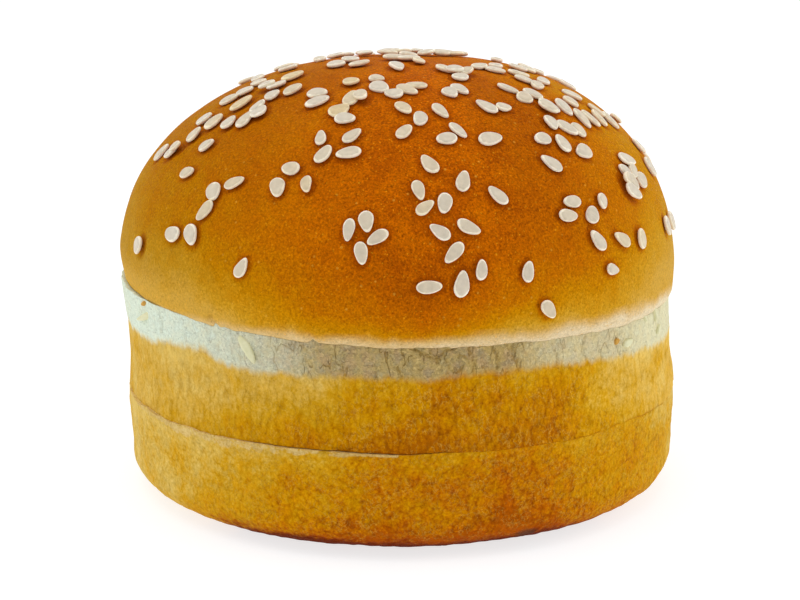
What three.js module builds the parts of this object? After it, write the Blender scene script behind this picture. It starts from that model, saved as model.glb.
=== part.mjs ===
// A club-style burger bun: one baked bun sliced twice, so three pieces rest on
// each other: heel, club and crown. Hulled sesame seeds lie on the crown's crust.
// Millimetres, +Z up. The origin is the centre of the heel's flat underside, and
// the front of the bun faces -Y.
import * as THREE from 'three';

// Driving dimensions, in millimetres.
const SLICE_GAP = 0.3;         // air between two cut faces that rest on each other
const ROUND_SIDES = 48;        // flats around each baked piece
const SLICE_SLOPE = 0.02;      // the upper cut falls this much per mm towards +X
const HEEL = { height: 16.3, bottomRadius: 45.1, cutRadius: 45.6, cornerReach: 9, cornerRise: 5.6 };
const CLUB = { top: 31.3, cutRadius: 45.5, bandHeight: 27.8, bandRadius: 45, topRadius: 43.6 };
const CROWN = { rim: 31.6, rimRadius: 43.1, widest: 34.3, radius: 46.1, top: 70.1, squareness: 2.27 };
const CROWN_SHIFT = -1;        // the crown sits this far to +X of the pieces under it
const CROWN_LEAN = 1.7;        // and its top leans this far back to +X
const SEED = { thickness: 0.9, lift: 0.3, sides: 7, rows: 5, shoulder: 0.42 };

// Each seed: [turn, fall, heading, length, width]. Turn is the angle round the bun
// from the front (-Y) towards +X, and fall is the angle down from straight up, seen
// from the middle of the crown's widest level. Heading is the way the pointed tip
// lies, clockwise from uphill. Angles are in degrees, lengths in millimetres.
const SEED_GROUPS = {
  blossom: [
    [-9.1, 72.2, 185, 3.4, 1.9], [-6, 70.6, 168, 3.3, 2.5], [-3.7, 73.4, 237, 3.5, 2.0],
    [-6.5, 76.2, 168, 3.4, 2.1],
  ],
  frontRight: [
    [3.6, 64.6, 162, 3.3, 2.0], [4.9, 67.9, 52, 3.2, 2.0], [8.6, 67.1, 187, 3.2, 2.3],
    [7.6, 72.3, 305, 3.5, 2.1], [10.1, 76, 222, 3.8, 2.1], [5.7, 81.8, 86, 3.9, 2.0],
    [11.4, 81.4, 8, 4.0, 2.5], [13.1, 71.5, 118, 3.8, 2.1], [15, 79.1, 5, 3.1, 1.8],
  ],
  rightFlank: [
    [24.1, 79.9, 8, 3.2, 1.9], [28, 86.8, 142, 3.2, 2.2], [36.3, 68.2, 276, 3.2, 2.0],
    [34.4, 70.6, 102, 3.4, 2.0], [40.6, 71.1, 16, 2.9, 2.3], [44.7, 68.9, 198, 2.6, 2.4],
    [40.7, 75.8, 322, 3.9, 2.2], [47.7, 76.4, 303, 3.9, 2.1], [54.5, 77.2, 356, 3.3, 2.7],
    [43.7, 81.3, 110, 2.6, 1.9],
  ],
  rightShoulder: [
    [6.1, 59.1, 325, 3.7, 2.3], [12.9, 62.9, 14, 3.5, 2.3], [19.7, 65.9, 318, 3.7, 2.1],
    [10.6, 53.2, 262, 3.3, 2.3], [13.9, 51.1, 142, 3.5, 1.7], [21.5, 53.6, 88, 3.8, 2.7],
    [34.7, 60.2, 315, 3.9, 2.2], [35.9, 54.5, 275, 3.0, 2.3], [41.2, 56, 0, 3.6, 2.5],
  ],
  leftShoulder: [
    [-12, 56.9, 255, 3.9, 2.3], [-12.4, 52.6, 42, 3.4, 2.1], [-17.8, 57.4, 20, 3.6, 2.3],
    [-20, 53.5, 345, 2.9, 1.9], [-19.1, 64, 165, 2.9, 1.8], [-24, 61, 268, 2.9, 2.4],
    [-25.4, 65.1, 160, 3.3, 2.5],
  ],
  leftFlank: [
    [-36.1, 65, 60, 3.6, 1.9], [-40.4, 67.3, 160, 3.0, 2.8], [-40.8, 71.1, 212, 3.9, 1.9],
    [-42.5, 76, 140, 3.6, 2.8], [-47.8, 76.4, 268, 3.2, 2.6], [-29, 80.3, 28, 3.4, 2.1],
    [-59.6, 80.6, 184, 2.9, 2.6], [-51.8, 64.6, 62, 3.0, 1.9], [-52.2, 58, 52, 3.2, 2.3],
    [-62, 56.4, 12, 3.2, 2.7],
  ],
  top: [
    [0.3, 51.3, 40, 3.1, 2.1], [4.3, 47.5, 190, 3.1, 2.3], [-0.2, 44, 148, 3.8, 2.2],
    [10.6, 45.1, 150, 3.6, 2.1], [25.3, 44.1, 330, 4.1, 2.3], [30.8, 44.7, 95, 2.7, 2.3],
    [4.2, 34.8, 265, 3.6, 2.2], [-12.5, 31.2, 105, 2.7, 2.0],
  ],
};

const CRUST = { brown: 0xb05c08, gold: 0xc28a2c, tan: 0xb97f20, seed: 0xe6dfcf };
const ARC_STEPS = 6;           // rings round a small rounded edge
const DOME_STEPS = 20;         // rings from the crown's widest level to its top

// ---- Outlines: points (radius, height) from the axis at the bottom to the axis on top.

function quarterCurve(centreRadius, centreHeight, reach, rise, from, to, steps, squareness = 2) {
  const points = [];
  for (let i = 0; i <= steps; i += 1) {
    const angle = THREE.MathUtils.lerp(from, to, i / steps) * Math.PI / 2;
    const across = Math.cos(angle);
    const up = Math.sin(angle);
    points.push(new THREE.Vector2(
      centreRadius + reach * Math.abs(across) ** (2 / squareness),
      centreHeight + rise * Math.sign(up) * Math.abs(up) ** (2 / squareness),
    ));
  }
  return points;
}

function heelOutline() {
  const { height, bottomRadius, cutRadius, cornerReach, cornerRise } = HEEL;
  const flatRadius = bottomRadius - cornerReach;
  return [
    new THREE.Vector2(0, 0),
    ...quarterCurve(flatRadius, cornerRise, cornerReach, cornerRise, -1, 0, ARC_STEPS),
    new THREE.Vector2((bottomRadius + cutRadius) / 2, (cornerRise + height) / 2),
    new THREE.Vector2(cutRadius, height),
    new THREE.Vector2(0, height),
  ];
}

function clubOutline() {
  const { top, cutRadius, bandHeight, bandRadius, topRadius } = CLUB;
  const foot = HEEL.height + SLICE_GAP;
  const middleRadius = (cutRadius + bandRadius) / 2;
  return [
    new THREE.Vector2(0, foot),
    new THREE.Vector2(cutRadius, foot),
    new THREE.Vector2(middleRadius, (foot + bandHeight) / 2),
    ...quarterCurve(topRadius, bandHeight, bandRadius - topRadius, top - bandHeight, 0, 1, ARC_STEPS - 2),
    new THREE.Vector2(0, top),
  ];
}

function crownOutline() {
  const { rim, rimRadius, widest, radius, top, squareness } = CROWN;
  const dome = quarterCurve(0, widest, radius, top - widest, 0, 1, DOME_STEPS, squareness);
  dome[dome.length - 1].x = 0;
  return [
    new THREE.Vector2(0, rim),
    ...quarterCurve(rimRadius, widest, radius - rimRadius, widest - rim, -1, 0, ARC_STEPS - 2),
    ...dome.slice(1),
  ];
}

// ---- The cut under the crown isn't quite level, and the dome leans a little to +X.

function tiltClub(point) {
  const share = (point.z - HEEL.height - SLICE_GAP) / (CLUB.top - HEEL.height - SLICE_GAP);
  point.z -= SLICE_SLOPE * point.x * share;
}

function shapeCrown(point) {
  const share = (point.z - CROWN.rim) / (CROWN.top - CROWN.rim);
  point.z -= SLICE_SLOPE * point.x * (1 - share);
  point.x += CROWN_SHIFT + CROWN_LEAN * share ** 1.5;
}

// ---- Turning an outline into a closed piece, and naming it.

function reshape(geometry, move) {
  const position = geometry.attributes.position;
  const point = new THREE.Vector3();
  for (let i = 0; i < position.count; i += 1) {
    point.fromBufferAttribute(position, i);
    move(point);
    position.setXYZ(i, point.x, point.y, point.z);
  }
  geometry.computeVertexNormals();
  return geometry;
}

function turnedPiece(outline, move = () => {}) {
  const geometry = new THREE.LatheGeometry(outline, ROUND_SIDES);
  geometry.rotateX(Math.PI / 2);
  return reshape(geometry, move);
}

function named(name, geometry, color, roughness) {
  const material = new THREE.MeshStandardMaterial({ color, roughness, metalness: 0 });
  const mesh = new THREE.Mesh(geometry, material);
  mesh.name = name;
  return mesh;
}

// ---- Seeds: a flat teardrop, blunt at one end and narrow at its tip.

// The tip points along +Y, the width is along X, and the flat side faces +Z.
function seedGeometry(length, width) {
  const geometry = new THREE.SphereGeometry(0.5, SEED.sides, SEED.rows);
  return reshape(geometry, (point) => {
    const along = 2 * point.y;
    const narrowing = 1 - SEED.shoulder * (0.5 + 0.5 * along) ** 2;
    point.set(point.x * width * narrowing, point.y * length, point.z * SEED.thickness);
  });
}

// A point of the crown's crust, before and after the tilt and lean.
function crustPoint(turn, fall) {
  const across = Math.sin(fall);
  const up = Math.cos(fall);
  const power = CROWN.squareness;
  const side = (Math.abs(across) / CROWN.radius) ** power;
  const height = (Math.abs(up) / (CROWN.top - CROWN.widest)) ** power;
  const reach = (side + height) ** (-1 / power);
  const point = new THREE.Vector3(
    reach * across * Math.sin(turn),
    -reach * across * Math.cos(turn),
    CROWN.widest + reach * up,
  );
  shapeCrown(point);
  return point;
}

// Axes on the crust: right (clockwise round the bun), uphill and straight out.
function crustAxes(turn, fall) {
  const step = 0.01;
  const uphill = crustPoint(turn, fall - step).sub(crustPoint(turn, fall + step)).normalize();
  const right = crustPoint(turn + step, fall).sub(crustPoint(turn - step, fall)).normalize();
  const out = new THREE.Vector3().crossVectors(right, uphill).normalize();
  return { right, uphill, out };
}

function sesameSeed(number, [turnDegrees, fallDegrees, heading, length, width]) {
  const turn = THREE.MathUtils.degToRad(turnDegrees);
  const fall = THREE.MathUtils.degToRad(fallDegrees);
  const { right, uphill, out } = crustAxes(turn, fall);
  const clockwise = THREE.MathUtils.degToRad(heading);
  const tip = uphill.clone().multiplyScalar(Math.cos(clockwise));
  tip.addScaledVector(right, Math.sin(clockwise));
  const side = new THREE.Vector3().crossVectors(tip, out).normalize();
  tip.crossVectors(out, side);

  const name = `sesame_seed_${String(number).padStart(2, '0')}`;
  const mesh = named(name, seedGeometry(length, width), CRUST.seed, 0.45);
  mesh.setRotationFromMatrix(new THREE.Matrix4().makeBasis(side, tip, out));
  mesh.position.copy(crustPoint(turn, fall)).addScaledVector(out, SEED.thickness / 2 + SEED.lift);
  return mesh;
}

// ---- The whole bun.

const bun = new THREE.Group();
bun.add(named('heel', turnedPiece(heelOutline()), CRUST.tan, 0.6));
bun.add(named('club', turnedPiece(clubOutline(), tiltClub), CRUST.gold, 0.7));
bun.add(named('crown', turnedPiece(crownOutline(), shapeCrown), CRUST.brown, 0.35));
Object.values(SEED_GROUPS).flat().forEach((seed, index) => {
  bun.add(sesameSeed(index + 1, seed));
});

export default bun;
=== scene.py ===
# %% [markdown]
# # A sesame burger bun, sliced twice
#
# The bun is one piece of bread that a blade has cut level at two heights, so it comes as
# three pieces that rest on each other: the heel, the club in the middle and the domed crown,
# with sesame seeds baked onto it. This lesson builds each of them round a fixed frame of
# plain solids, whose places and sizes it keeps.
#
# The frame has to be there first, because every piece asks it where to sit. Its box is
# written down straight away.

import bpy
import numpy as np
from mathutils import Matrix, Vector


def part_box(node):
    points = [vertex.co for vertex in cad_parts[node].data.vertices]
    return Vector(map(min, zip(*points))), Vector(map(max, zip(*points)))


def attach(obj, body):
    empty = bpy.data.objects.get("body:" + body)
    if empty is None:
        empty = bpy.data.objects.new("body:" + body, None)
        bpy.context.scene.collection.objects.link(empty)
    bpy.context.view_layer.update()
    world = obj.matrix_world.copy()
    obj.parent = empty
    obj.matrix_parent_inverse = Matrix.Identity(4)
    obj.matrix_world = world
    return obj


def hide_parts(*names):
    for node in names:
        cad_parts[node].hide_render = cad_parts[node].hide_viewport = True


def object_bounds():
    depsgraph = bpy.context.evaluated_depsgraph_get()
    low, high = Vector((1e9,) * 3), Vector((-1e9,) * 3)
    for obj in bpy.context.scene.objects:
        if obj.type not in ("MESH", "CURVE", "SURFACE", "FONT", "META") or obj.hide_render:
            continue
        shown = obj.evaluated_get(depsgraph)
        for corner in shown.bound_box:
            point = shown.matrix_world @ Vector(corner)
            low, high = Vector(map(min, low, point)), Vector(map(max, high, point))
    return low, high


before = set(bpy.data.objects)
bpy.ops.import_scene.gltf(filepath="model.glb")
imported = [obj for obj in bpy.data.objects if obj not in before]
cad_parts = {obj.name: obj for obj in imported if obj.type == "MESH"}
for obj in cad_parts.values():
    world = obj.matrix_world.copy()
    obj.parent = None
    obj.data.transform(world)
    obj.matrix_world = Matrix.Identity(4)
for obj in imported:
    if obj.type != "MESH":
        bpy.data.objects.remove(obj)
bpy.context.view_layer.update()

MM = 0.001                     # shapes are worked out in millimetres and stored in metres


def box_mm(node):
    """The lowest and highest corner of a solid of the frame, in millimetres."""
    low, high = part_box(node)
    return np.array(low) / MM, np.array(high) / MM


heel_low, heel_high = box_mm("heel")
club_low, club_high = box_mm("club")
crown_low, crown_high = box_mm("crown")
print("heel", heel_low, heel_high, "club", club_low, club_high, "crown", crown_low, crown_high)

# %% [markdown]
# ## Unevenness
#
# Dough never rises evenly, so no surface here is left as a clean turned shape. Blender has
# noise of its own, but one call for each of some hundred thousand points is slow in Python.
# A small table of random numbers, blended smoothly between its entries, gives the same soft
# hills for a whole surface at once, and a fixed seed makes them the same on every run.

# %% Soft random hills
TABLE_SIDE = 48
hill_table = np.random.default_rng(11).random((TABLE_SIDE,) * 3)


def hills(points, size, shift=0.0):
    """Smooth hills from -1 to 1 at points in millimetres, each about size millimetres across."""
    spot = points / np.asarray(size, float) + shift
    corner = np.floor(spot).astype(int)
    part = spot - corner
    ease = part**3 * (part * (part * 6 - 15) + 10)
    total = np.zeros(points.shape[:-1])
    for step in np.ndindex(2, 2, 2):
        x, y, z = np.moveaxis((corner + step) % TABLE_SIDE, -1, 0)
        total += hill_table[x, y, z] * np.prod(np.where(step, ease, 1 - ease), axis=-1)
    return 2 * total - 1


def layered(points, *layers):
    """Hills laid on top of each other, each a (height, size, shift)."""
    return sum(height * hills(points, size, shift) for height, size, shift in layers)


def rise(value, start, end):
    """0 below start and 1 above end, with an eased step between them."""
    share = np.clip((value - start) / (end - start), 0, 1)
    return share * share * (3 - 2 * share)


def around(turn, stops):
    """A value that changes round the bun, from stops of (degrees from the front, value)."""
    angles, values = np.array(stops, float).T
    return np.interp(np.degrees(turn), angles, values, period=360)


# %% [markdown]
# ## Turning bread on a lathe
#
# A bun is round, so each piece starts as an outline that is swung round the upright axis,
# as a Screw modifier or a potter's wheel would. Here the outline becomes a grid of points,
# rings by turns, because a grid can be pushed about with plain arithmetic before it ever
# becomes a mesh. One extra point closes the grid at the bottom and one at the top.

# %% Outlines and grids
INNER_RADIUS = 3.0             # of the innermost ring of a flat face


def swing(outline, sides):
    """The grid of an outline of (radius, height): its points, and the turn of each column."""
    turns = line(-np.pi, np.pi, sides)
    radius, height = outline[:, 0, None], outline[:, 1, None]
    grid = np.stack([radius * np.sin(turns), -radius * np.cos(turns), height + 0 * turns], -1)
    return grid, np.broadcast_to(turns, grid.shape[:2])


def line(start, end, count):
    """Points on a straight line from start up to, and not including, end."""
    return np.linspace(start, end, count, endpoint=False)


def radii(points):
    """How far each point is from the upright axis."""
    return np.hypot(points[..., 0], points[..., 1])


def quarter(centre, reach, lift, start, end, count, squareness=2.0):
    """Points on a rounded corner. Its angles run from -90 at the bottom to 90 on top."""
    angle = np.radians(line(start, end, count))
    across = np.abs(np.cos(angle)) ** (2 / squareness)
    up = np.sign(np.sin(angle)) * np.abs(np.sin(angle)) ** (2 / squareness)
    return np.stack([centre[0] + reach * across, centre[1] + lift * up], -1)


def outward(grid):
    """The direction straight out of the surface at each point of a grid."""
    round_it = np.roll(grid, -1, 1) - np.roll(grid, 1, 1)
    along_it = np.gradient(grid, axis=0)
    out = np.cross(round_it, along_it)
    return out / np.linalg.norm(out, axis=-1, keepdims=True)


def sideways(out, share):
    """The outward directions, laid level as far as share says, so that a push keeps heights."""
    level = out * np.stack([np.ones_like(share), np.ones_like(share), 1 - share], -1)
    return level / np.maximum(np.linalg.norm(level, axis=-1, keepdims=True), 1e-6)


def store(mesh, name, values):
    """Keeps a number for each point of a mesh, for its finish to read."""
    mesh.attributes.new(name, "FLOAT", "POINT").data.foreach_set("value", values.astype(np.float32))


def place_mesh(name, points, faces, body="root"):
    """A smooth mesh object from points in millimetres, riding on a body of the frame."""
    mesh = bpy.data.meshes.new(name)
    mesh.from_pydata((points * MM).tolist(), [], faces)
    mesh.shade_smooth()
    piece = bpy.data.objects.new(name, mesh)
    bpy.context.scene.collection.objects.link(piece)
    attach(piece, body)
    return piece


def grid_faces(rings, sides, first=0, turned=False):
    """Faces of a grid whose points start at number first, closed by a point at each end."""
    column = np.arange(sides)
    beside = np.roll(column, -1)
    faces = []
    for low in range(first, first + (rings - 1) * sides, sides):
        high = low + sides
        faces += np.stack([low + column, low + beside, high + beside, high + column], -1).tolist()
    last, foot = first + (rings - 1) * sides, first + rings * sides
    faces += [[foot, first + int(b), first + int(a)] for a, b in zip(column, beside)]
    faces += [[last + int(a), last + int(b), foot + 1] for a, b in zip(column, beside)]
    return [face[:1] + face[:0:-1] for face in faces] if turned else faces


def loaf_piece(name, grid, **numbers):
    """Closes a grid at both ends and makes it a piece, with a stored number for each point."""
    ends = np.stack([grid[0].mean(0), grid[-1].mean(0)])
    points = np.concatenate([grid.reshape(-1, 3), ends])
    piece = place_mesh(name, points, grid_faces(*grid.shape[:2]))
    for key, values in numbers.items():
        closed = np.append(values.ravel(), [values[0].mean(), values[-1].mean()])
        store(piece.data, key, closed)
    print(name, "points", len(piece.data.vertices), "faces", len(piece.data.polygons))
    return piece


# %% [markdown]
# ## The crown's dome
#
# The dome is squarer than half a ball: it bulges at the shoulder and is flat on top. One
# formula gives its outline, so that the same formula can later say where the crust is under
# each seed. The crown sits slightly to one side of the bread below, its top leans the other
# way, and the cut under it isn't quite level.

# %% The crust as a formula
SLOPE = 0.02                   # how much the cut under the crown falls towards +X
RIM = 31.6                     # height of the crown's cut edge
RIM_RADIUS = 43.1
WIDEST = 34.3                  # height where the dome is widest
TOP_SETTLE = 0.35              # how far the risen dome sank while it cooled
CROWN_TOP = crown_high[2] - TOP_SETTLE
CROWN_RADIUS = (crown_high[1] - crown_low[1]) / 2
SQUARENESS = 2.21
CROWN_SHIFT = -1.0
CROWN_LEAN = 1.7


def shape_crown(points):
    """Tilts the cut, moves the crown to its place and leans its top."""
    share = np.clip((points[..., 2] - RIM) / (CROWN_TOP - RIM), 0, 1)
    moved = points.copy()
    moved[..., 2] -= SLOPE * points[..., 0] * (1 - share)
    moved[..., 0] += CROWN_SHIFT + CROWN_LEAN * share**1.5
    return moved


def dome_outline(fall):
    """(radius, height) of the dome where a line that falls so far from upright meets it."""
    across, up = np.sin(fall), np.cos(fall)
    wide = (np.abs(across) / CROWN_RADIUS) ** SQUARENESS
    high = (np.abs(up) / (CROWN_TOP - WIDEST)) ** SQUARENESS
    reach = (wide + high) ** (-1 / SQUARENESS)
    return np.stack([reach * across, WIDEST + reach * up], -1)


def crust_point(turn, fall):
    """The place on the crust at a turn from the front and a fall from upright, in radians."""
    outline = dome_outline(np.asarray(fall, float))
    radius, height = outline[..., 0], outline[..., 1]
    return shape_crown(np.stack([radius * np.sin(turn), -radius * np.cos(turn), height], -1))


def crust_angles(point):
    """The turn and fall of the place on the crust nearest to a point."""
    share = np.clip((point[2] - RIM) / (CROWN_TOP - RIM), 0, 1)
    across = point[0] - CROWN_SHIFT - CROWN_LEAN * share**1.5
    up = point[2] + SLOPE * across * (1 - share) - WIDEST
    turn = np.arctan2(across, -point[1])
    return turn, np.arctan2(np.hypot(across, point[1]), up)


def crust_axes(turn, fall, step=0.01):
    """The directions clockwise round the bun, uphill, and straight out of the crust."""
    uphill = crust_point(turn, fall - step) - crust_point(turn, fall + step)
    right = crust_point(turn + step, fall) - crust_point(turn - step, fall)
    uphill /= np.linalg.norm(uphill)
    right /= np.linalg.norm(right)
    out = np.cross(right, uphill)
    return right, uphill, out / np.linalg.norm(out)


# %% [markdown]
# ## Where the seeds lie
#
# The frame holds the seeds that matter most as small solids. Each of those says where a
# seed is, which way it points and how big it is, so nothing about it is repeated here: the
# two points farthest apart are its ends, and the narrower end is the tip.
#
# The bun has many more seeds than the frame can hold. The ones that show from the front
# are listed one by one, each by its turn and fall, its heading, its length and its width, and
# a last number where one is yellower than the rest. The heading is the way the tip lies,
# clockwise from uphill. The rest are strewn at random, as a hand throws them.

# %% Seeds that the frame holds
SEED_THICKNESS = 0.95
SEED_PROUD = 0.28              # how far a seed's middle stands off the crust
SEED_HOVER = 0.75              # and how far it does so in the frame
SEED_FULLNESS = 1.06           # its few flats make a seed of the frame look slimmer than it is
SEED_LENGTH = 0.96             # and its sharp ends make it look longer


def seed_facts(turn, fall, out, tip, length, width, tone=None, node=None):
    """Where a seed is, its three directions and its size. Its middle stands off the crust."""
    side = np.cross(tip, out)
    side /= np.linalg.norm(side)
    return {"turn": turn, "fall": fall, "middle": crust_point(turn, fall) + SEED_PROUD * out,
            "side": side, "tip": tip, "out": np.cross(side, tip), "length": length, "width": width,
            "tone": tone, "node": node}


def seed_of_node(name):
    """Reads a seed's place, direction and size from its solid in the frame."""
    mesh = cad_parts[name].data
    points = np.array([vertex.co for vertex in mesh.vertices]) / MM
    apart = np.linalg.norm(points[:, None] - points[None], axis=-1)
    first, second = np.unravel_index(apart.argmax(), apart.shape)
    middle = (points[first] + points[second]) / 2
    tip = (points[first] - points[second]) / apart.max()
    out = crust_axes(*crust_angles(middle))[2]
    turn, fall = crust_angles(middle - SEED_HOVER * out)
    side = np.cross(tip, out)
    across = (points - middle) @ side / np.linalg.norm(side)
    along = (points - middle) @ tip
    if (np.abs(across) * along).sum() > 0:
        tip = -tip
    length, width = apart.max() * SEED_LENGTH, np.ptp(across) * SEED_FULLNESS
    return seed_facts(turn, fall, out, tip, length, width, node=name)


seed_nodes = sorted(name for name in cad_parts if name.startswith("sesame_seed"))
seeds = [seed_of_node(name) for name in seed_nodes]
print("seeds of the frame", len(seeds), "length", round(np.mean([s["length"] for s in seeds]), 2))

# %% Seeds listed one by one
YELLOW = 0.8                   # the tone of a yellow seed
MORE_SEEDS = {
    "top": [
        (-9.6, 35.7, 129, 3.5, 2.6), (0.8, 36.7, 132, 4.0, 2.0), (-3.8, 38.5, 280, 2.9, 2.4),
        (-22.5, 33.3, 50, 2.6, 2.5, YELLOW), (-17.5, 40.8, 2, 3.7, 2.3), (-14.2, 40.3, 150, 3.4, 2.1),
        (-19, 45.2, 38, 3.4, 2.9, YELLOW), (-16, 47.8, 90, 3.2, 2.4), (-5.3, 22.3, 160, 3.7, 2.5),
        (3, 13, 85, 3.6, 2.2), (-15, 12, 85, 3.6, 2.2), (-50, 22.5, 75, 3.2, 2.6),
    ],
    "right top": [
        (22.5, 25, 150, 3.4, 2.2), (25.5, 27.3, 140, 3.0, 2.0), (25.2, 30.5, 60, 3.0, 2.4),
        (30.8, 28.7, 80, 2.4, 1.6), (20, 37, 150, 3.4, 1.9), (15.8, 38.3, 160, 3.0, 2.4),
        (40, 37.8, 145, 3.6, 1.3), (42, 42, 140, 2.7, 2.5), (48, 40.8, 165, 3.5, 2.0),
        (57.5, 37.8, 250, 2.8, 2.3), (56.5, 34.5, 165, 3.2, 2.0), (68, 36.5, 60, 2.8, 2.2),
        (52, 27.8, 150, 3.4, 2.2), (48, 24.5, 92, 3.4, 2.0), (62, 25.5, 100, 3.0, 2.0),
        (62, 31.5, 160, 3.6, 2.0), (84, 31, 40, 3.4, 2.2), (91, 34, 120, 3.2, 2.1),
        (78, 29, 150, 3.4, 2.2), (88, 41, 20, 3.4, 2.0),
    ],
    "right chain": [
        (48.6, 45.4, 165, 3.9, 2.3), (46, 46.4, 168, 3.6, 2.0), (42.7, 50.5, 200, 3.0, 2.7),
        (54.5, 46.5, 190, 4.0, 2.0), (62, 45.3, 190, 3.0, 2.3), (70, 43.5, 180, 3.6, 2.0),
        (57, 50.5, 186, 4.2, 2.0), (61.5, 51, 182, 4.0, 2.1), (67, 51.5, 185, 3.6, 2.0),
        (72, 49.5, 190, 3.4, 2.0), (74, 53, 178, 3.8, 2.0), (46.8, 52.3, 150, 3.8, 2.1),
        (50.3, 53.3, 170, 3.0, 2.3), (46.2, 58.3, 260, 3.0, 2.8),
    ],
    "right edge": [
        (62, 62, 112, 4.2, 2.3), (61.5, 64.5, 215, 2.8, 1.7), (57.3, 64.3, 326, 3.0, 1.8),
        (56, 65.7, 275, 2.8, 1.9), (57.2, 66.5, 170, 3.2, 2.1), (56, 68.4, 136, 3.6, 2.2),
        (63.5, 66.8, 199, 2.8, 2.2), (76, 65.5, 180, 3.6, 1.8), (80, 61, 150, 3.4, 2.0),
        (70, 77, 180, 3.2, 2.2), (76, 77, 180, 3.2, 2.0),
    ],
    "left top": [
        (-31, 39.4, 79, 3.3, 2.6), (-28, 42.6, 36, 4.0, 2.0), (-43, 38.7, 25, 3.2, 1.9),
        (-48.5, 41.6, 20, 2.6, 2.3), (-55, 37.6, 5, 3.4, 2.0), (-58, 38.8, 50, 3.0, 2.0),
        (-57, 32.7, 15, 3.8, 2.4, YELLOW), (-45, 47.5, 340, 3.4, 2.8), (-48, 46, 350, 3.4, 2.0),
        (-47, 50.3, 0, 3.6, 2.2), (-52, 51.7, 345, 3.2, 2.2), (-57.5, 45.8, 2, 4.2, 2.2, YELLOW),
        (-68, 45.6, 30, 3.4, 2.2), (-67, 42, 10, 3.0, 2.6), (-70, 38, 60, 3.2, 2.2),
        (-66, 52.3, 5, 3.0, 2.4), (-59, 52.3, 0, 3.6, 2.4), (-80, 30, 30, 3.4, 2.2),
        (-82, 37, 80, 3.3, 2.3),
    ],
    "left edge": [
        (-72, 62.5, 20, 3.6, 1.8), (-66, 61.3, 30, 3.0, 2.6), (-64, 60.3, 60, 2.6, 1.8),
    ],
}


def seed_on_crust(turn, fall, heading, length, width, tone=None):
    """A seed lying on the crust, its tip turned by its heading from uphill."""
    turn, fall, heading = np.radians([turn, fall, heading])
    right, uphill, out = crust_axes(turn, fall)
    tip = np.cos(heading) * uphill + np.sin(heading) * right
    return seed_facts(turn, fall, out, tip / np.linalg.norm(tip), length, width, tone)


seeds += [seed_on_crust(*row) for rows in MORE_SEEDS.values() for row in rows]
print("seeds with the listed ones", len(seeds))

# %% Seeds strewn at random over the rest
STREWN = 104
STREWN_APART = 2.2             # the least distance between two middles
TOP_SHARE = 0.18               # of the strewn seeds, how many fall on the very top
TOP_FALL = 24                  # how far the very top reaches, in degrees
FAR_SIDE = 88                  # and how far the far side does, each way from the back
SEED_LENGTHS = (3.4, 0.3)      # the middle length and its spread
STREWN_SIZES = (2.7, 4.1)      # the shortest and the longest seed
STREWN_WIDTHS = (0.55, 0.78)   # the slimmest and the broadest, as shares of their length
MOST_TRIES = 4000
strew = np.random.default_rng(5)


def strewn_seed():
    """A seed on the very top, or anywhere on the far side but thicker towards the top."""
    if strew.random() < TOP_SHARE:
        turn, fall = strew.uniform(-180, 180), TOP_FALL * np.sqrt(strew.random())
    else:
        turn = 180 + strew.uniform(-FAR_SIDE, FAR_SIDE)
        fall = np.degrees(np.arccos(1 - strew.random() ** 1.2 * 0.96))
    length = np.clip(strew.normal(*SEED_LENGTHS), *STREWN_SIZES)
    heading = strew.uniform(0, 360)
    return seed_on_crust(turn, fall, heading, length, length * strew.uniform(*STREWN_WIDTHS))


tries = 0
wanted = len(seeds) + STREWN
while len(seeds) < wanted and tries < MOST_TRIES:
    tries += 1
    candidate = strewn_seed()
    gaps = [np.linalg.norm(candidate["middle"] - seed["middle"]) for seed in seeds]
    if min(gaps) > STREWN_APART:
        seeds.append(candidate)
print("seeds in all", len(seeds), "after tries", tries)

# %% [markdown]
# ## The crown
#
# The outline runs from the middle of the cut face out to the rim, round the lip and up over
# the dome. Slow hills make the dome a little uneven, and smaller ones give it the faint
# dimples of risen dough. Short creases pull the lip in where the dough stuck while it
# rose, and each seed presses a shallow seat into the crust.

# %% Shape the crown
CROWN_SIDES = 680
LIP_RINGS = 18
DOME_RINGS = 109
UNDER_RINGS = 12
LIP_INSET = 0.6                # from the lip to the cut face's outermost ring

under = line((INNER_RADIUS, RIM), (RIM_RADIUS - LIP_INSET, RIM), UNDER_RINGS)
lip = quarter((RIM_RADIUS, WIDEST), CROWN_RADIUS - RIM_RADIUS, WIDEST - RIM, -90, 0, LIP_RINGS, 2.2)
dome = dome_outline(np.radians(np.linspace(90, 0.8, DOME_RINGS)))
crown_grid, crown_turn = swing(np.concatenate([under, lip, dome]), CROWN_SIDES)
plain_height = crown_grid[..., 2].copy()
plain_radius = radii(crown_grid)
crown_grid = shape_crown(crown_grid)
on_cut = np.zeros(crown_grid.shape[:2])
on_cut[:UNDER_RINGS + 1] = 1

# How far the rim wanders from its height, and how far the lip and the flank are tucked in.
RIM_LIFT = [(-180, 0.1), (-90, 0.3), (-70, 0.0), (-54, -0.15), (-36, -0.45), (-20, -0.35), (-8, -0.45),
            (0, -0.5), (8, -0.35), (15, -0.5), (21, -0.35), (32, -0.35), (45, -0.2), (60, 0), (90, 0.1)]
LIP_TUCK = [(-180, 0.2), (-120, 0.8), (-88, 1.2), (-60, 0.8), (-35, 0.4), (-15, 0.1), (60, 0),
            (88, 0.5), (120, 0.3)]
FLANK_TUCK = [(-180, 0), (-120, 0.3), (-88, 0.55), (-60, 0.3), (-30, 0), (180, 0)]
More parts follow.
